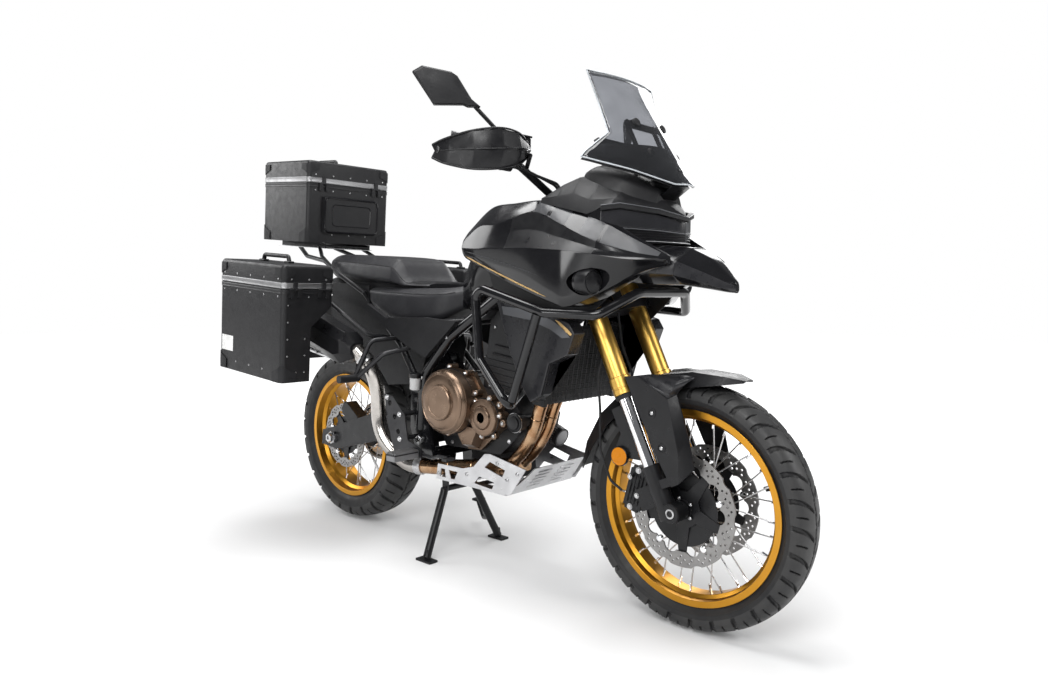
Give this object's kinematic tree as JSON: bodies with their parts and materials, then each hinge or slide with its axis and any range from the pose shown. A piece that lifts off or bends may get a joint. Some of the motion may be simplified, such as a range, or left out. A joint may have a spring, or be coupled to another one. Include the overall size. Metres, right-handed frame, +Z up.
{
  "type": "adventure motorcycle",
  "caption": "Adventure touring motorcycle with spoked wheels, upside-down fork, crash bars, clear screen, twin-cylinder engine and hard luggage, standing on its centre stand.",
  "frame": {"origin": "on the ground under the middle of the machine's bounding box", "axes": "+X forward along the length, +Y to the rider's left, +Z up"},
  "size_m": [2.1577, 0.96, 1.447],
  "materials": {
    "main_frame": "gloss black",
    "subframe": "gloss black",
    "axle_and_bolts": "satin",
    "engine_block": "dark satin paint",
    "engine_covers": "bronze satin",
    "swingarm": "satin",
    "shock_absorber": "satin",
    "drive_chain": "oiled",
    "rear_caliper": "satin",
    "exhaust_headers": "heat tinted",
    "exhaust_midpipe": "polished",
    "silencer": "satin black",
    "skid_plate": "brushed",
    "radiator": "matt black",
    "crash_bars": "gloss black",
    "foot_rests": "satin",
    "fuel_tank": "gloss black",
    "side_fairings": "gloss black",
    "front_beak": "gloss black",
    "nose_panel": "matt black",
    "front_lamps": "clear over silver",
    "windscreen": "clear",
    "dashboard": "matt black",
    "radiator_shrouds": "matt dark grey",
    "side_panels": "matt dark grey",
    "rider_seat": "matt black",
    "passenger_seat": "matt black",
    "tail_unit": "matt black",
    "rear_lamps": "clear red",
    "luggage_rack": "satin black",
    "top_box_body": "black anodised",
    "left_box_body": "black anodised",
    "right_box_body": "black anodised",
    "fork_clamps": "satin black",
    "fork_outer_tubes": "gold anodised",
    "fork_stanchions": "mirror",
    "fork_bottoms": "satin black",
    "front_calipers": "satin",
    "front_fender": "satin charcoal",
    "handlebar": "satin black",
    "hand_guards": "satin black",
    "mirrors": "satin black",
    "brake_hoses": "matt black",
    "front_tyre": "tread",
    "front_rim": "gold anodised",
    "front_hub": "satin black",
    "front_spokes": "bright",
    "front_discs": "ground",
    "rear_tyre": "tread",
    "rear_rim": "gold anodised",
    "rear_hub": "satin black",
    "rear_spokes": "bright",
    "rear_disc": "ground",
    "rear_sprocket": "satin",
    "centre_stand": "satin black",
    "side_stand": "satin black",
    "top_box_lid": "black anodised",
    "left_box_lid": "black anodised",
    "right_box_lid": "black anodised"
  },
  "bodies": {
    "chassis": {"main_frame": "main_frame", "subframe": "subframe", "axle_and_bolts": "axle_and_bolts", "engine_block": "engine_block", "engine_covers": "engine_covers", "swingarm": "swingarm", "shock_absorber": "shock_absorber", "drive_chain": "drive_chain", "rear_caliper": "rear_caliper", "exhaust_headers": "exhaust_headers", "exhaust_midpipe": "exhaust_midpipe", "silencer": "silencer", "skid_plate": "skid_plate", "radiator": "radiator", "crash_bars": "crash_bars", "foot_rests": "foot_rests", "fuel_tank": "fuel_tank", "side_fairings": "side_fairings", "front_beak": "front_beak", "nose_panel": "nose_panel", "front_lamps": "front_lamps", "windscreen": "windscreen", "dashboard": "dashboard", "radiator_shrouds": "radiator_shrouds", "side_panels": "side_panels", "rider_seat": "rider_seat", "passenger_seat": "passenger_seat", "tail_unit": "tail_unit", "rear_lamps": "rear_lamps", "luggage_rack": "luggage_rack", "top_box_body": "top_box_body", "left_box_body": "left_box_body", "right_box_body": "right_box_body"},
    "steering": {"fork_clamps": "fork_clamps", "fork_outer_tubes": "fork_outer_tubes", "fork_stanchions": "fork_stanchions", "fork_bottoms": "fork_bottoms", "front_calipers": "front_calipers", "front_fender": "front_fender", "handlebar": "handlebar", "hand_guards": "hand_guards", "mirrors": "mirrors", "brake_hoses": "brake_hoses"},
    "front_wheel": {"front_tyre": "front_tyre", "front_rim": "front_rim", "front_hub": "front_hub", "front_spokes": "front_spokes", "front_discs": "front_discs"},
    "rear_wheel": {"rear_tyre": "rear_tyre", "rear_rim": "rear_rim", "rear_hub": "rear_hub", "rear_spokes": "rear_spokes", "rear_disc": "rear_disc", "rear_sprocket": "rear_sprocket"},
    "centre_stand": {"centre_stand": "centre_stand"},
    "side_stand": {"side_stand": "side_stand"},
    "top_lid": {"top_box_lid": "top_box_lid"},
    "left_lid": {"left_box_lid": "left_box_lid"},
    "right_lid": {"right_box_lid": "right_box_lid"}
  },
  "joints": [
    {"name": "steering", "type": "hinge", "parent": "chassis", "child": "steering", "pos_m": [0.4094, 0, 0.9397], "axis": [-0.4305, 0, 0.9026], "range_deg": [-34, 34]},
    {"name": "front_wheel_spin", "type": "hinge", "parent": "steering", "child": "front_wheel", "pos_m": [0.7579, 0, 0.321], "axis": [0, 1, 0], "continuous": true},
    {"name": "rear_wheel_spin", "type": "hinge", "parent": "chassis", "child": "rear_wheel", "pos_m": [-0.6871, 0, 0.323], "axis": [0, 1, 0], "continuous": true},
    {"name": "centre_stand_fold", "type": "hinge", "parent": "chassis", "child": "centre_stand", "pos_m": [-0.1446, 0, 0.277], "axis": [0, 1, 0], "range_deg": [0, 85]},
    {"name": "side_stand_fold", "type": "hinge", "parent": "chassis", "child": "side_stand", "pos_m": [-0.0246, 0.152, 0.294], "axis": [0, -0.9539, -0.3], "range_deg": [0, 95]},
    {"name": "top_lid", "type": "hinge", "parent": "chassis", "child": "top_lid", "pos_m": [-0.74797, 0, 1.25916], "axis": [0, 1, 0], "range_deg": [0, 90]},
    {"name": "left_lid", "type": "hinge", "parent": "chassis", "child": "left_lid", "pos_m": [-0.42825, 0, 0.86996], "axis": [0, 1, 0], "range_deg": [0, 90]},
    {"name": "right_lid", "type": "hinge", "parent": "chassis", "child": "right_lid", "pos_m": [-0.42825, 0, 0.86996], "axis": [0, 1, 0], "range_deg": [0, 90]}
  ]
}
